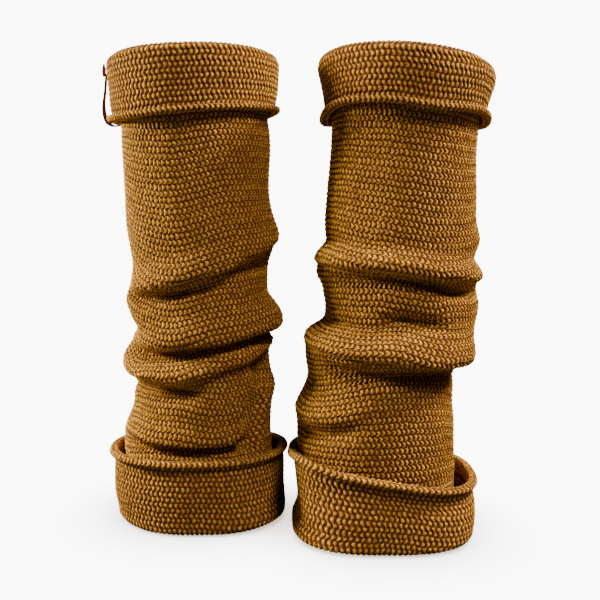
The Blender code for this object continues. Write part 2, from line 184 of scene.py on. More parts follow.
rightTube = {
    "stand": (83, -18.4),
    "squareness": 2.15,
    # height, drift in x and y, half width in x and y
    "sections": [
        (0, -12, 0, 59, 56),
        (40, -14, 0, 60.5, 57),
        (70, -16.3, 0, 62, 58),
        (90, -17, 0, 62.2, 58),
        (105, -15.8, 0, 59.6, 57),
        (124, -12, 0, 58, 57),
        (134, -10.5, -1, 61, 57),
        (145, -10.5, -2, 61.5, 58),
        (157, -6.3, -2, 65, 59),
        (164, -0.5, -1, 60.5, 57),
        (172, 2.5, 0, 59.5, 57),
        (190, 2.5, 0, 60.5, 57),
        (212, -0.7, 0, 58.5, 56),
        (226, 3, 0, 58.5, 56),
        (238, 1.5, 0, 58.3, 56),
        (262, 2, 0, 57.5, 55),
        (296, 3.2, 0, 55.7, 54),
        (320, 4.5, 0, 56, 54),
        (370, 3, 0, 57.5, 55),
    ],
    # its line as (azimuth, height), reach, half height, droop, plumpness
    "folds": [
        (((-175, 213), (-91, 219), (-6, 214.5), (33, 208.5), (77, 205.5), (150, 209)), 9.5, 8, 4.5, 2),
        (((-80, 203), (-60, 201), (-5, 199), (15, 197), (32, 192), (60, 190), (98, 190)), -10.5, 8),
        (((10, 197), (32, 192), (53, 189), (88, 189)), -4, 7),
        (((-145, 203), (-92, 204), (-45, 204)), 4, 12),
        (((40, 236), (77, 234), (120, 234)), 2, 10, 3),
        (((-28, 172), (2, 171), (34, 165)), -8.5, 7),
        (((-115, 166), (-83, 166), (-47, 165), (-8, 162), (12, 161), (35, 160)), -4.5, 8),
        (((-95, 158), (-46, 156), (2, 153), (24, 151), (60, 149), (90, 146), (135, 147)), 8, 8.7, 7.2, 3),
        (((-5, 153), (40, 151), (85, 147)), 2, 8, 3.5),
        (((-75, 137), (-46, 134), (-26, 131), (17, 130), (45, 129), (70, 127), (98, 125)), -13, 8.3),
        (((0, 130), (40, 129), (80, 126)), -3, 7.5),
        (((-130, 99), (-90, 101), (-57, 100), (-33, 102), (0, 107)), 4, 8, 4, 1),
        (((-100, 83), (-64, 83), (-41, 85), (-5, 93)), -6, 8),
        (((110, 198), (160, 194), (215, 198)), 7, 9, 6, 3),
        (((115, 182), (165, 178), (215, 182)), -7, 8.5),
        (((120, 152), (175, 149), (235, 154)), 8, 10, 7, 3),
        (((125, 134), (175, 131), (235, 136)), -8, 8.5),
        (((90, 110), (140, 106), (190, 104)), 6, 10, 5, 2),
        (((95, 93), (140, 89), (190, 88)), -6, 8.5),
    ],
    # top and bottom as (azimuth, height), spread in degrees, depth
    "grooves": [
        ((160, 120), (152, 50), 18, 4),
        ((-25, 315), (-18, 232), 26, 1.5),
    ],
}
rightTopCuff = {
    "squareness": 2.1,
    # azimuth, height
    "bends": [
        (-90, 367),
        (-45, 368),
        (0, 365.5),
        (40, 361),
        (75, 357),
        (110, 356),
        (180, 362),
    ],
    # height, drift in x and y, half width in x and y
    "sections": [
        (314, 4, 0, 60.6, 58.5),
        (327, 4.6, 0, 61.6, 59.5),
        (337, 5.6, 0, 63.6, 61.5),
        (347, 6, 0, 66, 63.5),
        (358, 4, 0, 66.6, 63.5),
    ],
    # azimuth, height
    "edges": [
        (-90, 318),
        (-55, 325),
        (-20, 324),
        (15, 319),
        (55, 319),
        (90, 314),
        (140, 320),
        (200, 324),
    ],
    # its line as (azimuth, height), reach, half height, droop, plumpness
    "folds": [
        (((-95, 335), (-55, 335), (-15, 335)), 2, 12, 0),
        (((130, 338), (190, 338), (250, 338)), -1.5, 16, 0),
    ],
}
rightBottomCuff = {
    "squareness": 2.9,
    # azimuth, height
    "bends": [
        (0, 0),
    ],
    # height, drift in x and y, half width in x and y
    "sections": [
        (5, -12, -1, 71.3, 66.5),
        (14, -9.6, -1, 70, 66),
        (27, -9, -1, 69.3, 65),
        (42, -10.8, 0, 68.8, 64),
        (62, -12.8, 0, 69.2, 64),
    ],
    # azimuth, height
    "edges": [
        (-90, 63),
        (-55, 68),
        (-25, 61),
        (10, 54),
        (45, 48),
        (90, 48),
        (135, 46),
        (180, 52),
        (230, 60),
    ],
    # its line as (azimuth, height), reach, half height, droop, plumpness
    "folds": [
        (((-20, 40), (25, 36), (70, 32)), -2.2, 10, 0),
        (((-80, 24), (-30, 24), (20, 24)), 1.2, 14, 0),
        (((110, 30), (170, 30), (230, 30)), -1.8, 16, 0),
    ],
}

# The cloth, and how its two sides are knitted. On the smooth side, each row starts half a stitch further on.
cloth = {
    "thickness": 3.0,
    "tubeRound": 365,  # the flat cloth's width, once round the tube
    "topRound": 420,  # and round the cuffs, where it is stretched wider
    "footRound": 430,
    "tubeStitches": 98,  # round the tube
    "cuffStitches": 106,
    "tubeRow": 4.15,
    "cuffRow": 4.0,
    "slant": 0.5,  # how far a stitch of the smooth side leans, in stitches
    "knitRelief": 1.7,  # from the gaps to the top of a stitch
    "purlRelief": 1.3,
    "sunk": 0.75,  # share of the relief that lies below the face of the cloth
    "strand": 1.8,  # power of |across| in a strand's round back
    "sway": 0.25,  # how far a loop of the purl side stands to one side, in stitches
    "uneven": 0.15,  # how far a stitch strays from its place, in stitches
    "fullness": 0.22,  # how far its relief differs from the next one's, as a share
    "behindTop": 28,  # length of the tube that the top cuff hides
    "behindFoot": 34,
}
turnBack = {
    "crestBend": 5.0,  # half height of the bend at the top
    "footBend": 4.5,
    "footFlat": 0.32,  # share of the foot's bend that lies flat on the table
    "seamDepth": 15.0,  # from a cuff's bend to the end of its inner leg
    "rollRadius": 2.3,  # the free edge's curl
    "rollTurn": 200.0,
}


# A smooth curve through values at stations: on each piece, with share s, it is
# v0 + (v1 - v0) s s (3 - 2 s) + slope0 w s (1 - s)(1 - s) - slope1 w s s (1 - s)
def spline(stations, values, at):
    stations = np.asarray(stations, float)
    values = np.asarray(values, float)
    slopes = np.gradient(values, stations)
    at = np.clip(at, stations[0], stations[-1])
    piece = np.clip(np.searchsorted(stations, at) - 1, 0, len(stations) - 2)
    width = stations[piece + 1] - stations[piece]
    s = (at - stations[piece]) / width
    startPull = s * (1 - s) ** 2 * width * slopes[piece]
    endPull = s * s * (1 - s) * width * slopes[piece + 1]
    return values[piece] + (values[piece + 1] - values[piece]) * s * s * (3 - 2 * s) + startPull - endPull


# Height all the way round, from its table carried over once on each side
def levelRound(levels, azimuth):
    if len(levels) == 1:
        return np.full(np.shape(azimuth), levels[0][1], float)
    turns = [level[0] + turn for turn in (-360, 0, 360) for level in levels]
    return spline(turns, [level[1] for level in levels] * 3, azimuth)


def angleBetween(azimuth, middle):
    return (azimuth - middle + 180) % 360 - 180


# 1 in the middle, falling to 0 where the share reaches 1: (1 - |share|^3)^2
def window(share):
    return (1 - np.minimum(np.abs(share), 1) ** 3) ** 2


# How far the folds push the cloth out and let it hang: the sum over the folds of
# reach window(turn / spread) exp(-2 level^2), and for a groove -depth window(turn) window(height)
def foldPush(folds, grooves, azimuth, height):
    out = np.zeros(np.broadcast(azimuth, height).shape)
    down = np.zeros_like(out)
    for fold in folds:
        path, reach, half, droop, plump = (*fold, 0, 0)[:5]
        middle = (path[0][0] + path[-1][0]) / 2
        spread = (path[-1][0] - path[0][0]) / 2
        turn = angleBetween(azimuth, middle)
        line = spline([place[0] - middle for place in path], [place[1] for place in path], turn)
        level = (height - line) / half
        swell = window(turn / spread) * np.exp(-2 * level**2)
        out += reach * swell
        down += (droop - 2 * plump * level) * swell
    for top, bottom, spread, depth in grooves:
        share = (top[1] - height) / (top[1] - bottom[1])
        line = top[0] + (bottom[0] - top[0]) * share
        out -= depth * window(angleBetween(azimuth, line) / spread) * window(2 * share - 1)
    return out, down


# Rounded outline round its drifted centre: (|sin / halfX|^n + |cos / halfY|^n)^(-1/n) + out
def outline(sections, squareness, azimuth, height, out):
    stations = [section[0] for section in sections]
    driftX, driftY, halfX, halfY = (
        spline(stations, [section[column] for section in sections], height) for column in range(1, 5)
    )
    turn = np.radians(azimuth)
    across = np.abs(np.sin(turn) / halfX) ** squareness
    along = np.abs(np.cos(turn) / halfY) ** squareness
    radius = (across + along) ** (-1 / squareness) + out
    return driftX + radius * np.sin(turn), driftY - radius * np.cos(turn)


def seamHeight(cuff, azimuth, foot):
    up = -1 if foot else 1
    return levelRound(cuff["bends"], azimuth) - up * turnBack["seamDepth"]


# The middle of the tube's cloth: azimuth, and q from 0 at the top seam to 1 at the bottom one
def tubeMiddle(tube, topCuff, bottomCuff, azimuth, q):
    top = seamHeight(topCuff, azimuth, False)
    bottom = seamHeight(bottomCuff, azimuth, True)
    height = top + (bottom - top) * q
    push, down = foldPush(tube["folds"], tube["grooves"], azimuth, height)
    x, y = outline(tube["sections"], tube["squareness"], azimuth, height, push - cloth["thickness"] / 2)
    return np.stack([x, y, height - down], axis=-1)


# The middle of a cuff's cloth. q runs up the inner leg (0 to 1), over the bend (1 to 2 and 3 to 4,
# with the foot's flat between), along the outer leg (4 to 5) and round the free edge's curl (5 to 6)
def cuffMiddle(tube, cuff, foot, azimuth, q):
    up = -1 if foot else 1
    bend = turnBack["footBend"] if foot else turnBack["crestBend"]
    flat = turnBack["footFlat"] if foot else 0.0
    roll = turnBack["rollRadius"]
    half = cloth["thickness"] / 2
    share = [np.clip(q - step, 0, 1) for step in range(6)]
    seam = seamHeight(cuff, azimuth, foot)
    bendStart = levelRound(cuff["bends"], azimuth) - up * (half + bend)
    edge = levelRound(cuff["edges"], azimuth) + up * (half + roll)
    turn = np.radians(90 * (share[1] + share[3]))
    curl = np.radians(turnBack["rollTurn"] * share[5])
    level = seam + (bendStart - seam) * share[0] + up * bend * np.sin(turn) + (edge - bendStart) * share[4]
    out = (1 - flat) / 2 * (1 - np.cos(turn)) + flat * share[2]
    push, _ = foldPush(cuff["folds"], (), azimuth, level)
    innerX, innerY = outline(tube["sections"], tube["squareness"], azimuth, level, -half)
    push = push + roll * (1 - np.cos(curl)) - half
    outerX, outerY = outline(cuff["sections"], cuff["squareness"], azimuth, level, push)
    x = innerX + (outerX - innerX) * out
    y = innerY + (outerY - innerY) * out
    return np.stack([x, y, level - up * roll * np.sin(curl)], axis=-1)


# Lays the knit evenly on a surface middle(azimuth, q): returns a function that turns
# (share round, share along the cloth) into points, with the share measured by length on the cloth.
def evenly(middle, steps, reverse=False):
    lanes = 240  # round the cloth
    marks = 900  # along each lane
    azimuth = np.linspace(-180, 180, lanes + 1)[:, None]
    q = np.linspace(0, 1, steps)[None, :]
    if reverse:
        q = q[:, ::-1]
    lengths = np.linalg.norm(np.diff(middle(azimuth, q), axis=1), axis=2)
    along = np.concatenate([np.zeros((lanes + 1, 1)), np.cumsum(lengths, axis=1)], axis=1)
    total = along[:, -1]
    apart = 10.0 * np.arange(lanes + 1)[:, None]  # keeps the lanes apart in one search
    wanted = (np.linspace(0, 1, marks)[None, :] + apart).ravel()
    known = (along / total[:, None] + apart).ravel()
    table = np.interp(wanted, known, np.broadcast_to(q, along.shape).ravel()).reshape(lanes + 1, marks)

    def place(roundShare, alongShare):
        column = (roundShare % 1) * lanes
        row = np.clip(alongShare, 0, 1) * (marks - 1)
        c = np.minimum(column.astype(int), lanes - 1)
        r = np.minimum(row.astype(int), marks - 2)
        f, g = column - c, row - r
        near = table[c, r] * (1 - g) + table[c, r + 1] * g
        far = table[c + 1, r] * (1 - g) + table[c + 1, r + 1] * g
        return middle(roundShare * 360 - 180, near * (1 - f) + far * f)

    return place, float(total.mean())


# Points of one side of the cloth: the middle, moved along its normal by half the thickness and the relief.
# The normal is the cross product of the steps down the cloth and round it.
def clothSide(place, roundShare, alongShare, side, relief):
    step = 0.0012  # share of the way round or along
    above = place(roundShare, np.maximum(alongShare - step, 0))
    down = place(roundShare, np.minimum(alongShare + step, 1)) - above
    across = place(roundShare + step, alongShare) - place(roundShare - step, alongShare)
    normal = np.cross(down, across)
    normal /= np.linalg.norm(normal, axis=-1, keepdims=True)
    return place(roundShare, alongShare) + normal * (side * (cloth["thickness"] / 2 + relief))[..., None]


# How far the stitches of the smooth side stand off, round the tube: slant t, where t is 0 in a row's middle
# and 1 between two rows, and half a stitch more on every other row, or a quarter right between two
def knitLean(row):
    between = row == np.floor(row)
    shift = np.where(between, 0.25, 0.5 * (np.floor(row) % 2))
    return cloth["slant"] * np.abs(2 * (row % 1) - 1) + shift


# The purl side's loops sway to and fro, row by row: -sway sin(pi row)
def purlLean(row):
    return -cloth["sway"] * np.sin(np.pi * row)


# Strands side by side, each with a from -1 to 1 across it, that dip towards their ends, where t is 1:
# (1 - |a|^strand) (1 - dip t t) - sunk
def strands(across, row, dip):
    a = 2 * (across % 1) - 1
    t = np.abs(2 * (row % 1) - 1)
    return (1 - np.abs(a) ** cloth["strand"]) * (1 - dip * t * t) - cloth["sunk"]


def knitRelief(stitch, row):
    return cloth["knitRelief"] * strands(stitch + knitLean(row), row, 0.4)


def purlRelief(stitch, row):
    return cloth["purlRelief"] * strands(stitch + purlLean(row), row, 0.5)


# Small seeded differences from stitch to stitch, blended between neighbours
def strays(stitch, row, count, seed):
    rows = 140  # more than any piece has
    table = np.random.default_rng(seed).uniform(-1, 1, (rows, count))
    c, r = np.floor(stitch), np.clip(np.floor(row), 0, rows - 2)
    f, g = stitch - c, row - r
    c, r = c.astype(int) % count, r.astype(int)
    beside = (c + 1) % count
    near = table[r, c] * (1 - f) + table[r, beside] * f
    far = table[r + 1, c] * (1 - f) + table[r + 1, beside] * f
    return near * (1 - g) + far * g


# Puts a finished mesh in the scene, in place of its CAD node
def addPiece(name, mesh, node):
    piece = bpy.data.objects.new(name, mesh)
    bpy.context.scene.collection.objects.link(piece)
    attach(piece, "root")
    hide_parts(node)
    return piece


# The quads of a grid that closes on itself: their corners' point numbers, rows and columns
def gridQuads(rows, columns, first):
    row, column = np.meshgrid(np.arange(rows - 1), np.arange(columns), indexing="ij")
    rowAt = np.stack([row, row + 1, row + 1, row], axis=-1).reshape(-1, 4)
    columnAt = np.stack([column, column, column + 1, column + 1], axis=-1).reshape(-1, 4)
    return first + rowAt * columns + columnAt % columns, rowAt, columnAt


# A rim's triangles, between the end rows of side A and of side B, which has fewer columns:
# their corners' point numbers, and the columns of side A that the corners take their stitch from
def rimTriangles(startA, columnsA, startB, columnsB):
    ratio = columnsA // columnsB
    fine = np.arange(columnsA)
    apex = (fine + ratio // 2) // ratio
    coarse = np.arange(columnsB)
    tip = (ratio * (coarse + 1) - ratio // 2) % columnsA
    onA = np.stack([startA + fine, startA + (fine + 1) % columnsA, startB + apex % columnsB], axis=1)
    onB = np.stack([startA + tip, startB + (coarse + 1) % columnsB, startB + coarse], axis=1)
    columns = np.concatenate([np.stack([fine, fine + 1, fine], axis=1), np.stack([tip, tip, tip], axis=1)])
    return np.concatenate([onA, onB]), columns


# Joins two sides, each a grid of points and their (stitch, row), into one closed shell
def clothShell(name, sideA, sideB, stand, materials, node):
    (pointsA, uvA), (pointsB, uvB) = sideA, sideB
    rowsA, columnsA = pointsA.shape[:2]
    rowsB, columnsB = pointsB.shape[:2]
    countA = rowsA * columnsA
    facesA, rowA, columnA = gridQuads(rowsA, columnsA, 0)
    facesB, rowB, columnB = gridQuads(rowsB, columnsB, countA)
    quads = np.concatenate([facesA, facesB[:, ::-1]])
    quadUv = np.concatenate([uvA[rowA, columnA], uvB[rowB, columnB][:, ::-1]])

    triangles, triangleUv = [], []
    stitchStep = uvA[0, 1, 0] - uvA[0, 0, 0]
    lastA, lastB = countA - columnsA, countA + (rowsB - 1) * columnsB
    for end, startA, startB, order in ((0, 0, countA, 1), (-1, lastA, lastB, -1)):
        rim, columns = rimTriangles(startA, columnsA, startB, columnsB)
        stitch = uvA[end, 0, 0] + stitchStep * columns
        triangles.append(rim[:, ::order])
        triangleUv.append(np.stack([stitch, np.full(stitch.shape, uvA[end, 0, 1])], axis=-1)[:, ::order])
    triangles = np.concatenate(triangles)
    points = np.concatenate([pointsA.reshape(-1, 3), pointsB.reshape(-1, 3)])
    points = (points + np.array([*stand, 0.0])) * 0.001

    mesh = bpy.data.meshes.new(name)
    mesh.vertices.add(len(points))
    mesh.vertices.foreach_set("co", points.ravel())
    corner = np.concatenate([quads.ravel(), triangles.ravel()])
    mesh.loops.add(len(corner))
    mesh.loops.foreach_set("vertex_index", corner.astype(np.int32))
    sizes = np.concatenate([np.full(len(quads), 4), np.full(len(triangles), 3)])
    mesh.polygons.add(len(sizes))
    mesh.polygons.foreach_set("loop_start", np.concatenate([[0], np.cumsum(sizes)[:-1]]).astype(np.int32))
    mesh.uv_layers.new(name="stitches")
    uv = np.concatenate([quadUv.reshape(-1, 2), np.concatenate(triangleUv).reshape(-1, 2)])
    mesh.uv_layers["stitches"].data.foreach_set("uv", uv.ravel())
    mesh.update(calc_edges=True)
    mesh.validate()
    mesh.shade_smooth()
    for material in materials:
        mesh.materials.append(material)
    slots = np.concatenate([np.zeros(len(facesA)), np.ones(len(facesB)), np.zeros(len(triangles))])
    mesh.polygons.foreach_set("material_index", slots.astype(np.int32))
    print(name, len(quads) * 2 + len(triangles), "triangles")
    return addPiece(name, mesh, node)


# One side of the cloth, as a grid of points and their (stitch, row), which has one column more to close it.
# The rows are samples along the cloth, and the columns follow the stitches where they are given a lean.
def sideGrid(place, total, side, rows, pitch, columns, stitches, relief, lean, seed):
    rows = np.asarray(rows, float)[:, None]
    stitch = np.arange(columns)[None, :] * (stitches / columns) + 0 * rows
    if lean:
        stitch = stitch - lean(rows)
    row = rows + 0 * stitch
    ends = np.minimum(row, total / pitch - row).clip(0, 1)  # the ends stay in place
    roundShare = (stitch + cloth["uneven"] * strays(stitch, row, stitches, seed)) / stitches
    alongShare = (row + cloth["uneven"] * ends * strays(stitch, row, stitches, seed + 1)) * pitch / total
    height = np.zeros_like(row)
    if relief:
        height = relief(stitch, row) * (1 + cloth["fullness"] * strays(stitch, row, stitches, seed + 2))
    points = clothSide(place, roundShare, alongShare, side, height)
    last = stitch[:, :1] + stitches
    uv = np.stack([np.concatenate([stitch, last], axis=1), np.concatenate([row, rows], axis=1)], axis=-1)
    return points, uv


# A leg warmer's tube, and the flat size of its cloth in metres
def makeTube(name, node, tube, topCuff, bottomCuff, materials, seed):
    place, total = evenly(lambda azimuth, q: tubeMiddle(tube, topCuff, bottomCuff, azimuth, q), 1400)
    count = round(total / cloth["tubeRow"])
    pitch = total / count
    # Three samples a row where it shows, and one behind the cuffs
    base = np.arange(count)
    shown = base[(base > cloth["behindTop"] / pitch) & (base < count - cloth["behindFoot"] / pitch)]
    rows = np.sort(np.concatenate([base, shown + 0.33, shown + 0.67, [count]]))
    stitches = cloth["tubeStitches"]
    sideA = sideGrid(place, total, 1.0, rows, pitch, stitches * 4, stitches, knitRelief, knitLean, seed)
    inner = np.linspace(0, count, round(count * 0.5) + 1)
    sideB = sideGrid(place, total, -1.0, inner, pitch, stitches, stitches, None, None, seed)
    piece = clothShell(name, sideA, sideB, tube["stand"], materials, node)
    print(f"  cloth {total:.0f} mm long, {count} rows of {pitch:.2f} mm")
    return piece, (cloth["tubeRound"] / 1000, total / 1000)


# A cuff, and its flat size. The top one's rows run from its hidden seam to its free edge, and the bottom
# one's from its free edge to its seam, so that both have side A outside.
def makeCuff(name, node, tube, cuff, foot, materials, seed):
    place, total = evenly(lambda azimuth, q: cuffMiddle(tube, cuff, foot, azimuth, 6 * q), 2400, reverse=foot)
    count = round(total / cloth["cuffRow"])
    pitch = total / count
    stitches = cloth["cuffStitches"]
    rows = np.arange(count * 4 + 1) / 4
    sideA = sideGrid(place, total, 1.0, rows, pitch, stitches * 4, stitches, purlRelief, purlLean, seed)
    # The smooth side shows only where the free edge rolls, so its samples are close together there
    inner = np.concatenate([np.arange(0, 17) / 4, np.linspace(4, count, 15)[1:]])
    if not foot:
        inner = count - inner[::-1]
    sideB = sideGrid(place, total, -1.0, inner, pitch, stitches * 4, stitches, knitRelief, None, seed)
    piece = clothShell(name, sideA, sideB, tube["stand"], materials[::-1], node)
    print(f"  cloth {total:.0f} mm long, {count} rows of {pitch:.2f} mm")
    return piece, (cloth["footRound" if foot else "topRound"] / 1000, total / 1000)


# A flat strip along its route, cut to a point at its start. Its section is |cos|^0.6 and |sin|^0.6 of the
# spin, with their signs, which is a rounded oblong. Also returns the route in metres.
def makeLace(name, node, route, stand, material, point):
    sides = 16  # round the strip
    stations = np.arange(len(route), dtype=float)
    steps = np.linspace(0, len(route) - 1, 12 * (len(route) - 1) + 1)
    x, y, z, turn = (spline(stations, [place[column] for place in route], steps) for column in range(4))
    way = np.stack([np.gradient(x), np.gradient(z)], axis=1)
    way /= np.linalg.norm(way, axis=1)[:, None]
    turn = np.radians(turn)
    flat = np.stack([-way[:, 1] * np.sin(turn), np.cos(turn), way[:, 0] * np.sin(turn)], axis=1)
    along = np.stack([way[:, 0], 0 * steps, way[:, 1]], axis=1)
    normal = np.cross(along, flat)
    spin = np.linspace(0, 2 * np.pi, sides, endpoint=False)
    across = np.sign(np.cos(spin)) * np.abs(np.cos(spin)) ** 0.6 * lace["width"] / 2
    through = np.sign(np.sin(spin)) * np.abs(np.sin(spin)) ** 0.6 * lace["thickness"] / 2
    trim = np.minimum(1.0, 0.3 + 0.7 * steps / point)[:, None]  # 0.3 of the width is left at the tip
    middle = np.stack([x, y, z], axis=1)
    ring = middle[:, None] + flat[:, None] * (trim * across)[:, :, None]
    ring = ring + normal[:, None] * through[None, :, None]
    points = (ring.reshape(-1, 3) + np.array([*stand, 0.0])) * 0.001
    quads = gridQuads(len(steps), sides, 0)[0][:, [0, 3, 2, 1]]  # turned, so that they face outwards
    ends = [list(range(sides - 1, -1, -1)), list(range(len(points) - sides, len(points)))]
    mesh = bpy.data.meshes.new(name)
    mesh.from_pydata(points.tolist(), [], quads.tolist() + ends)
    mesh.shade_smooth()
    mesh.materials.append(material)
    path = (middle + np.array([*stand, 0.0])) * 0.001
    return addPiece(name, mesh, node), path


# Materials
yarn = {
    "paintedGapShade": (0.105, 0.026, 0.004),  # painted shade: put in the gaps between the stitches, where shade falls
    "body": (0.430, 0.155, 0.014),
    "tip": (0.800, 0.390, 0.040),  # painted highlight: put on the top of a strand, as if lit
    "shade": (0.300, 0.094, 0.006),  # where the dye took darker
    "driftScale": 28.0,  # how fine the drift of the dye is, and the flecks of single fibres
    "fleckScale": 620.0,
    "roughness": 0.88,
    "sheen": 0.2,
    "sheenRoughness": 0.45,
    "sheenTint": (1.0, 0.66, 0.25),
    "specular": 0.15,
    "bump": 0.9,
    "relief": 0.0011,  # metres, of the strands in the bump
    "plyLean": 3.0,  # how fast the plies pass across a strand and along it, in radians
    "plyTwist": 4.0,
}
leather = {
    "body": (0.100, 0.011, 0.014),
    "worn": (0.280, 0.060, 0.055),
    "grainScale": 1400.0,
    "wearScale": 160.0,
    "roughness": 0.42,
    "bump": 0.5,
    "relief": 0.0002,
}


def newGroup(name, inputs, outputs):
    group = bpy.data.node_groups.new(name, "ShaderNodeTree")
    for socket, kind, value in inputs:
        made = group.interface.new_socket(name=socket, in_out="INPUT", socket_type=kind)
        if value is not None:
            made.default_value = value
    for socket, kind in outputs:
        group.interface.new_socket(name=socket, in_out="OUTPUT", socket_type=kind)
    start = group.nodes.new("NodeGroupInput")
    end = group.nodes.new("NodeGroupOutput")
    return group, start.outputs, end.inputs


# A Math node of the tree; each value is a number or another node's output
def math(tree, operation, *values, clamp=False):
    node = tree.nodes.new("ShaderNodeMath")
    node.operation = operation
    node.use_clamp = clamp
    for socket, value in zip(node.inputs, values):
        if isinstance(value, (int, float)):
            socket.default_value = value
        else:
            tree.links.new(value, socket)
    return node.outputs[0]


def mixColour(tree, share, first, second):
    node = tree.nodes.new("ShaderNodeMix")
    node.data_type = "RGBA"
    for socket, value in ((node.inputs[0], share), (node.inputs[6], first), (node.inputs[7], second)):
        if isinstance(value, (int, float)):
            socket.default_value = value
        elif isinstance(value, tuple):
            socket.default_value = (*value, 1)
        else:
            tree.links.new(value, socket)
    return node.outputs[2]


def noise(tree, vector, scale, detail=2.0, roughness=0.5):
    node = tree.nodes.new("ShaderNodeTexNoise")
    node.inputs["Scale"].default_value = scale
    node.inputs["Detail"].default_value = detail
    node.inputs["Roughness"].default_value = roughness
    tree.links.new(vector, node.inputs["Vector"])
    return node.outputs["Fac"]


def combine(tree, x, y, z=0.0):
    node = tree.nodes.new("ShaderNodeCombineXYZ")
    for socket, value in zip(node.inputs, (x, y, z)):
        if isinstance(value, (int, float)):
            socket.default_value = value
        else:
            tree.links.new(value, socket)
    return node.outputs[0]


# The plies and fibres of a strand. Across runs over the strand from -1 to 1 and Along follows it:
# plies = |sin(plyLean across + plyTwist along + seed)|
def fibreGroup():
    group, inputs, outputs = newGroup(
        "yarnFibre",
        [(socket, "NodeSocketFloat", 0.0) for socket in ("Across", "Along", "Seed")],
        [(socket, "NodeSocketFloat") for socket in ("Height", "Tone", "Groove")],
    )
    across, along, seed = inputs[0], inputs[1], inputs[2]
    phase = math(group, "MULTIPLY_ADD", across, yarn["plyLean"], seed)
    phase = math(group, "MULTIPLY_ADD", along, yarn["plyTwist"], phase)
    plies = math(group, "ABSOLUTE", math(group, "SINE", phase))
    hairs = noise(group, combine(group, math(group, "MULTIPLY", across, 2.4), along, seed), 3.4, 4.0, 0.7)
    own = group.nodes.new("ShaderNodeTexWhiteNoise")
    own.noise_dimensions = "1D"
    group.links.new(seed, own.inputs["W"])
    height = math(group, "MULTIPLY_ADD", hairs, 0.5, math(group, "MULTIPLY", plies, 0.6))
    group.links.new(height, outputs["Height"])
    tone = math(group, "MULTIPLY_ADD", own.outputs["Value"], 0.6, math(group, "MULTIPLY", hairs, 0.6))
    group.links.new(tone, outputs["Tone"])
    # painted shade in the grooves between the plies, used for the colour only
    groove = math(group, "SUBTRACT", 1.0, math(group, "MULTIPLY", plies, 1.5), clamp=True)
    group.links.new(groove, outputs["Groove"])
    return group


# Adds the strand's plies, fibres and outputs to a stitch group
def finishStitch(group, outputs, fibre, height, across, along, own):
    twist = group.nodes.new("ShaderNodeGroup")
    twist.node_tree = fibre
    group.links.new(across, twist.inputs["Across"])
    group.links.new(along, twist.inputs["Along"])
    group.links.new(own, twist.inputs["Seed"])
    group.links.new(height, outputs["Height"])
    # painted shade mask: high where the strand is low, between the strands, and in the plies' grooves
    between = math(group, "SUBTRACT", 1.9, math(group, "MULTIPLY", height, 2.2), clamp=True)
    paintedShadeAmount = math(group, "MULTIPLY_ADD", twist.outputs["Groove"], 0.5, between, clamp=True)
    group.links.new(paintedShadeAmount, outputs["PaintedShadeMask"])
    group.links.new(twist.outputs["Height"], outputs["Fibre"])
    group.links.new(twist.outputs["Tone"], outputs["Tone"])
    return group


stitchInputs = [("Stitches", "NodeSocketVector", None), ("Shape", "NodeSocketFloat", 0.5)]
stitchOutputs = [(socket, "NodeSocketFloat") for socket in ("Height", "PaintedShadeMask", "Fibre", "Tone")]


# Stitch and row from the UV map
def splitStitches(group, inputs):
    split = group.nodes.new("ShaderNodeSeparateXYZ")
    group.links.new(inputs["Stitches"], split.inputs[0])
    return split.outputs[0], split.outputs[1]


# Strands side by side: a = 2 fract(lean) - 1 across one, its round back 1 - |a|^strand, and the dip
# towards its ends, where t is 1: 1 - dip t^power
def strandNodes(group, lean, t, power, dip):
    across = math(group, "MULTIPLY_ADD", math(group, "FRACT", lean), 2.0, -1.0)
    edges = math(group, "POWER", math(group, "ABSOLUTE", across), cloth["strand"])
    back = math(group, "SUBTRACT", 1.0, edges, clamp=True)
    ends = math(group, "SUBTRACT", 1.0, math(group, "MULTIPLY", math(group, "POWER", t, power), dip))
    return across, math(group, "MULTIPLY", back, ends)


# The smooth side: lean = stitch + slant t^1.3, and half a stitch more on every other row, with
# t = |2 fract(row) - 1|
def braidGroup(fibre):
    group, inputs, outputs = newGroup("braidedStitches", stitchInputs, stitchOutputs)
    u, v = splitStitches(group, inputs)
    odd = math(group, "FLOORED_MODULO", math(group, "FLOOR", v), 2.0)
    t = math(group, "ABSOLUTE", math(group, "MULTIPLY_ADD", math(group, "FRACT", v), 2.0, -1.0))
    bow = math(group, "POWER", t, 1.3)
    lean = math(group, "MULTIPLY_ADD", odd, 0.5, math(group, "MULTIPLY_ADD", bow, inputs["Shape"], u))
    across, strand = strandNodes(group, lean, t, 4.0, 0.55)
    half = math(group, "FLOOR", math(group, "MULTIPLY", v, 2.0))
    own = math(group, "MULTIPLY_ADD", half, 7.31, math(group, "FLOOR", lean))  # a number of the strand's own
    # Here and there the furrow between two rows is drawn in deeper
    furrow = math(group, "MULTIPLY", math(group, "ROUND", v), 3.7)
    drawn = noise(group, combine(group, math(group, "MULTIPLY", u, 0.06), furrow), 1.0, 1.0)
    drawn = math(group, "SUBTRACT", drawn, 0.42, clamp=True)
    deeper = math(group, "MULTIPLY", drawn, math(group, "POWER", t, 6.0))
    height = math(group, "SUBTRACT", strand, math(group, "MULTIPLY", deeper, 3.0), clamp=True)
    return finishStitch(group, outputs, fibre, height, across, t, own)


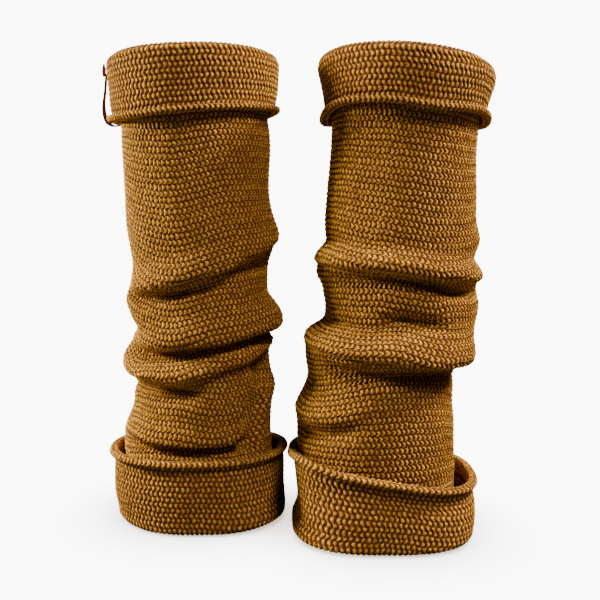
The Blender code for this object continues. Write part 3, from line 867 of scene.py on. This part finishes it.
# The purl side: loops that sway to and fro, with lean = stitch - sway sin(pi row)
def purlGroup(fibre):
    group, inputs, outputs = newGroup("purlLoops", stitchInputs, stitchOutputs)
    u, v = splitStitches(group, inputs)
    swing = math(group, "SINE", math(group, "MULTIPLY", v, float(np.pi)))
    lean = math(group, "SUBTRACT", u, math(group, "MULTIPLY", swing, inputs["Shape"]))
    along = math(group, "MULTIPLY_ADD", math(group, "FRACT", v), 2.0, -1.0)
    across, strand = strandNodes(group, lean, math(group, "ABSOLUTE", along), 2.2, 0.62)
    own = math(group, "MULTIPLY_ADD", math(group, "FLOOR", v), 7.31, math(group, "FLOOR", lean))
    return finishStitch(group, outputs, fibre, strand, across, along, own)


# Colour of the dyed wool from the slow drift of the dye and flecks of single fibres, with painted light on
# each stitch: a painted highlight on a strand's top, stronger the higher it stands, and painted shade in its
# gaps
def woolColourAndPaintedLightGroup():
    group, inputs, outputs = newGroup(
        "woolColourAndPaintedLight",
        [
            ("Height", "NodeSocketFloat", 0.5),
            ("PaintedShadeMask", "NodeSocketFloat", 0.0),
            ("Tone", "NodeSocketFloat", 0.5),
            ("Place", "NodeSocketVector", None),
            ("PaintedShade", "NodeSocketColor", (*yarn["paintedGapShade"], 1)),
            ("Body", "NodeSocketColor", (*yarn["body"], 1)),
            ("PaintedHighlight", "NodeSocketColor", (*yarn["tip"], 1)),
            ("Shade", "NodeSocketColor", (*yarn["shade"], 1)),
        ],
        [("Color", "NodeSocketColor")],
    )
    drift = noise(group, inputs["Place"], yarn["driftScale"], 3.0, 0.55)
    fleck = noise(group, inputs["Place"], yarn["fleckScale"], 3.0, 0.6)
    slow = math(group, "MULTIPLY_ADD", math(group, "SUBTRACT", drift, 0.5), 1.6, 0.35, clamp=True)
    base = mixColour(group, slow, inputs["Body"], inputs["Shade"])
    # painted highlight: the higher a strand stands, the more of the highlight colour, by a random amount
    shine = math(group, "MULTIPLY", inputs["Tone"], 1.1)
    shine = math(group, "MULTIPLY_ADD", math(group, "SUBTRACT", fleck, 0.5), 4.5, shine)
    lit = math(group, "MULTIPLY", math(group, "POWER", inputs["Height"], 1.8), shine, clamp=True)
    bright = mixColour(group, lit, base, inputs["PaintedHighlight"])
    # painted shade in the gaps between strands and plies, with dark flecks of single fibres at random
    paintedShadeAndFlecks = math(group, "MULTIPLY_ADD", math(group, "SUBTRACT", 0.5, fleck), 1.8, inputs["PaintedShadeMask"], clamp=True)
    group.links.new(mixColour(group, paintedShadeAndFlecks, bright, inputs["PaintedShade"]), outputs["Color"])
    return group


def newMaterial(name):
    material = bpy.data.materials.new(name)
    material.use_nodes = True
    return material, material.node_tree, material.node_tree.nodes["Principled BSDF"]


def addBump(tree, shader, height, finish):
    bump = tree.nodes.new("ShaderNodeBump")
    bump.inputs["Strength"].default_value = finish["bump"]
    bump.inputs["Distance"].default_value = finish["relief"]
    tree.links.new(height, bump.inputs["Height"])
    tree.links.new(bump.outputs[0], shader.inputs["Normal"])


def woolMaterial(name, stitches, shape, colour):
    material, tree, shader = newMaterial(name)
    uv = tree.nodes.new("ShaderNodeUVMap")
    uv.uv_map = "stitches"
    place = tree.nodes.new("ShaderNodeTexCoord")
    knit = tree.nodes.new("ShaderNodeGroup")
    knit.node_tree = stitches
    knit.inputs["Shape"].default_value = shape
    tree.links.new(uv.outputs[0], knit.inputs["Stitches"])
    dye = tree.nodes.new("ShaderNodeGroup")
    dye.node_tree = colour
    for socket in ("Height", "PaintedShadeMask", "Tone"):
        tree.links.new(knit.outputs[socket], dye.inputs[socket])
    tree.links.new(place.outputs["Object"], dye.inputs["Place"])
    tree.links.new(dye.outputs["Color"], shader.inputs["Base Color"])
    rough = math(tree, "MULTIPLY_ADD", knit.outputs["Tone"], 0.16, yarn["roughness"] - 0.08, clamp=True)
    tree.links.new(rough, shader.inputs["Roughness"])
    shader.inputs["Sheen Weight"].default_value = yarn["sheen"]
    shader.inputs["Sheen Roughness"].default_value = yarn["sheenRoughness"]
    shader.inputs["Sheen Tint"].default_value = (*yarn["sheenTint"], 1)
    shader.inputs["Specular IOR Level"].default_value = yarn["specular"]
    fine = math(tree, "MULTIPLY_ADD", knit.outputs["Fibre"], 0.5, knit.outputs["Height"])
    addBump(tree, shader, fine, yarn)
    return material


def leatherMaterial():
    material, tree, shader = newMaterial("oxbloodLeather")
    place = tree.nodes.new("ShaderNodeTexCoord").outputs["Object"]
    grain = noise(tree, place, leather["grainScale"], 4.0, 0.6)
    wear = noise(tree, place, leather["wearScale"], 3.0, 0.6)
    worn = math(tree, "MULTIPLY_ADD", math(tree, "SUBTRACT", wear, 0.55), 3.0, 0.0, clamp=True)
    tree.links.new(mixColour(tree, worn, leather["body"], leather["worn"]), shader.inputs["Base Color"])
    rough = math(tree, "MULTIPLY_ADD", grain, 0.3, leather["roughness"] - 0.15)
    tree.links.new(rough, shader.inputs["Roughness"])
    addBump(tree, shader, grain, leather)
    return material


fibre = fibreGroup()
woolColourAndPaintedLight = woolColourAndPaintedLightGroup()
braided = woolMaterial("ochreWoolBraids", braidGroup(fibre), cloth["slant"], woolColourAndPaintedLight)
purled = woolMaterial("ochreWoolPurl", purlGroup(fibre), cloth["sway"], woolColourAndPaintedLight)
oxblood = leatherMaterial()
print("materials made")

wool = [braided, purled]
for side, tube, top, foot, seed in (
    ("left", leftTube, leftTopCuff, leftBottomCuff, 10),
    ("right", rightTube, rightTopCuff, rightBottomCuff, 50),
):
    piece, flat = makeTube(f"{side}Tube", f"{side}_tube", tube, top, foot, wool, seed)
    piece, flat = makeCuff(f"{side}TopCuff", f"{side}_top_cuff", tube, top, False, wool, seed + 10)
    piece, flat = makeCuff(f"{side}BottomCuff", f"{side}_bottom_cuff", tube, foot, True, wool, seed + 20)

stand = leftTube["stand"]
loop, path = makeLace("laceLoop", "left_lace_1", lace["loop"], stand, oxblood, lace["loopPoint"])
makeLace("laceTail", "left_lace_2", lace["tail"], stand, oxblood, lace["tailPoint"])

# Studio, in metres: a pale floor, the air round it, soft lights at both sides and in front, and the camera
studio = {
    "floorTop": -0.0008,
    "floorHalf": 30.0,
    "floorColour": (0.10, 0.098, 0.095),  # what the other rays meet
    "paper": (1.0, 0.995, 0.99),  # what the camera sees
    "paintedContactShadow": (0.10, 0.075, 0.05),  # painted contact shadow: what the camera sees right beside what stands on it
    "paintedShadowReach": 0.06,
    "brightness": 10.0,  # of the paper
    "fill": 0.04,  # light from the air
    "air": (1.0, 0.99, 0.97),
    "camera": (0.0067, -0.6004, 0.2345),
    "pitch": 84.75,  # degrees up from straight down
    "sensor": 36,  # millimetres, as the lens
    "lens": 44.4,
    "lightSize": 0.3,
    # name, place, what it is aimed at, watts, colour
    "lights": [
        ("leftWindow", (-1.12, 0.08, 0.62), (0, 0, 0.25), 52, (1.0, 1.0, 0.78)),
        ("rightWindow", (0.95, -0.1, 1.1), (0, 0, 0.25), 40, (1.0, 0.98, 0.82)),
        ("frontAbove", (0.4, -0.78, 1.25), (0, 0, 0.22), 18, (1.0, 0.98, 0.95)),
    ],
}


# The camera sees one shader, and all other rays meet another
def splitSeen(tree, met, seen, output):
    ray = tree.nodes.new("ShaderNodeLightPath")
    both = tree.nodes.new("ShaderNodeMixShader")
    tree.links.new(ray.outputs["Is Camera Ray"], both.inputs[0])
    tree.links.new(met, both.inputs[1])
    tree.links.new(seen, both.inputs[2])
    tree.links.new(both.outputs[0], tree.nodes[output].inputs["Surface"])


# The floor is seen as bright as the air behind it, with a painted contact shadow: it darkens close to what
# stands on it, by ambient occlusion
def makeFloor():
    mesh = bpy.data.meshes.new("floor")
    half = studio["floorHalf"]
    top = studio["floorTop"]
    corners = [(-half, -half, top), (half, -half, top), (half, half, top), (-half, half, top)]
    mesh.from_pydata(corners, [], [(0, 1, 2, 3)])
    material, tree, shader = newMaterial("paleBoard")
    place = tree.nodes.new("ShaderNodeTexCoord").outputs["Object"]
    soft = noise(tree, place, 3.0, 2.0, 0.5)
    low = tuple(channel * 0.97 for channel in studio["floorColour"])
    tree.links.new(mixColour(tree, soft, studio["floorColour"], low), shader.inputs["Base Color"])
    shader.inputs["Roughness"].default_value = 0.9
    # painted shadow: ambient occlusion darkens the paper that the camera sees, close to what stands on it
    near = tree.nodes.new("ShaderNodeAmbientOcclusion")
    near.samples = 8
    near.inputs["Distance"].default_value = studio["paintedShadowReach"]
    glow = tree.nodes.new("ShaderNodeEmission")
    paperWithPaintedShadow = mixColour(tree, math(tree, "POWER", near.outputs["AO"], 1.5), studio["paintedContactShadow"], studio["paper"])
    tree.links.new(paperWithPaintedShadow, glow.inputs["Color"])
    glow.inputs["Strength"].default_value = studio["brightness"]
    splitSeen(tree, shader.outputs[0], glow.outputs[0], "Material Output")
    mesh.materials.append(material)
    floor = bpy.data.objects.new("floor", mesh)
    bpy.context.scene.collection.objects.link(floor)


def makeAir():
    world = bpy.data.worlds.new("studioAir")
    world.use_nodes = True
    tree = world.node_tree
    fill = tree.nodes["Background"]
    fill.inputs["Color"].default_value = (*studio["air"], 1)
    fill.inputs["Strength"].default_value = studio["fill"]
    paper = tree.nodes.new("ShaderNodeBackground")
    paper.inputs["Color"].default_value = (*studio["paper"], 1)
    paper.inputs["Strength"].default_value = studio["brightness"]
    splitSeen(tree, fill.outputs[0], paper.outputs[0], "World Output")
    bpy.context.scene.world = world


def addLight(name, place, aim, watts, colour):
    light = bpy.data.lights.new(name, "AREA")
    light.shape = "SQUARE"
    light.size = studio["lightSize"]
    light.energy = watts
    light.color = colour
    lamp = bpy.data.objects.new(name, light)
    lamp.location = place
    way = np.array(aim) - np.array(place)
    flat = np.hypot(way[0], way[1])
    lamp.rotation_euler = (np.arctan2(flat, -way[2]), 0, np.arctan2(way[1], way[0]) - np.pi / 2)
    bpy.context.scene.collection.objects.link(lamp)


def makeCamera():
    lens = bpy.data.cameras.new("camera")
    lens.sensor_width = studio["sensor"]
    lens.lens = studio["lens"]
    camera = bpy.data.objects.new("camera", lens)
    camera.location = studio["camera"]
    camera.rotation_euler = (np.radians(studio["pitch"]), 0, 0)
    bpy.context.scene.collection.objects.link(camera)
    bpy.context.scene.camera = camera


makeFloor()
makeAir()
for light in studio["lights"]:
    addLight(*light)
makeCamera()
print("studio ready")
